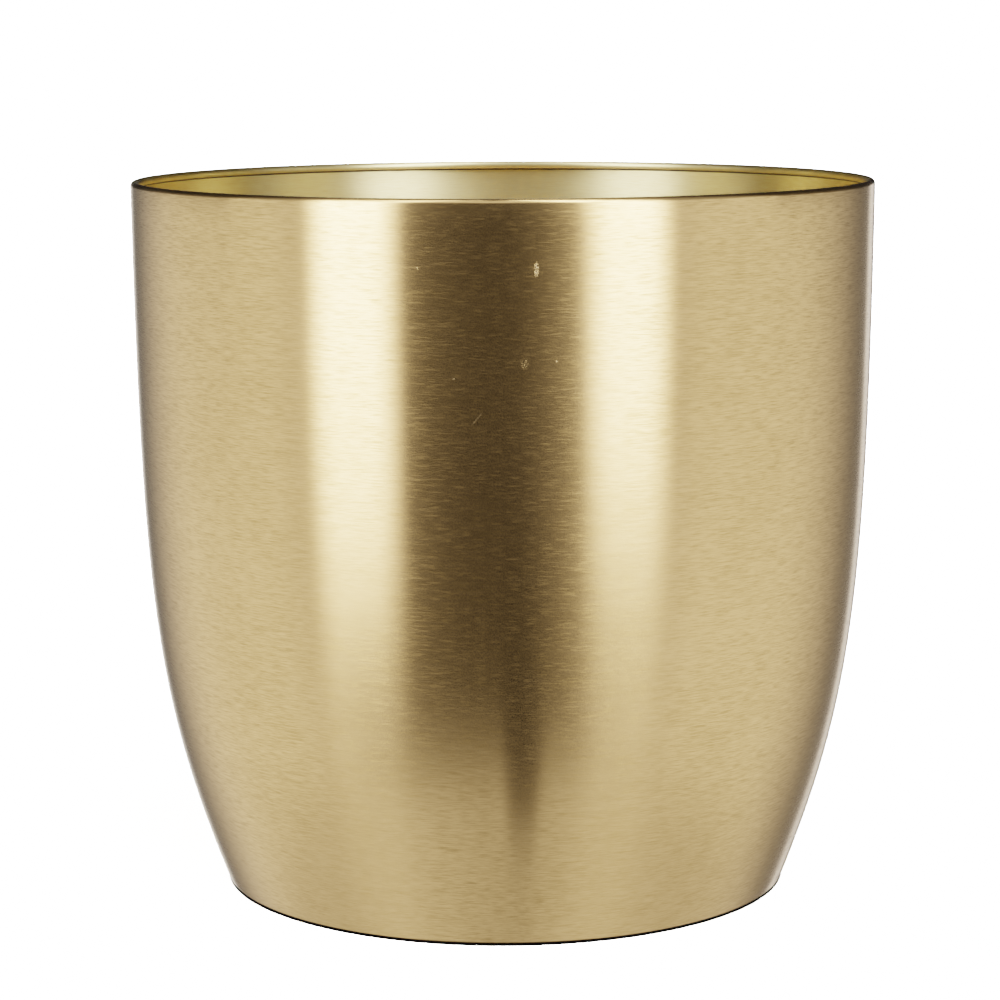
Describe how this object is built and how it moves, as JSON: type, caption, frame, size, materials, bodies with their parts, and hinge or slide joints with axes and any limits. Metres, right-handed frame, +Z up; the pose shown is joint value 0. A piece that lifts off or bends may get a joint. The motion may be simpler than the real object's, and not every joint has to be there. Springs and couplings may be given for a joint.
{
  "type": "planter pot",
  "caption": "Round brushed-brass planter pot, nearly upright at its rolled rim and drawn in to a smaller flat foot on low rubber pads; an open cover for a plant in its nursery pot.",
  "frame": {"origin": "on the pot's axis, at the flat surface that the pads stand on", "axes": "+Z up along the pot's axis of turning; -Y is the side that faces the viewer"},
  "size_m": [0.3, 0.3, 0.287],
  "materials": {
    "brushed_brass": "fine brushed round the pot, clear lacquered satin",
    "rim_steel": "plain drawn wire",
    "base_brass": "turned in fine rings, dull satin",
    "solder": "dull soft-solder grey",
    "pad_rubber": "matt black"
  },
  "bodies": {
    "root": {"pot_wall": "brushed_brass", "rim_wire": "rim_steel", "base_disc": "base_brass", "solder_fillet": "solder", "foot_pad_1": "pad_rubber", "foot_pad_2": "pad_rubber", "foot_pad_3": "pad_rubber", "foot_pad_4": "pad_rubber"}
  },
  "joints": []
}
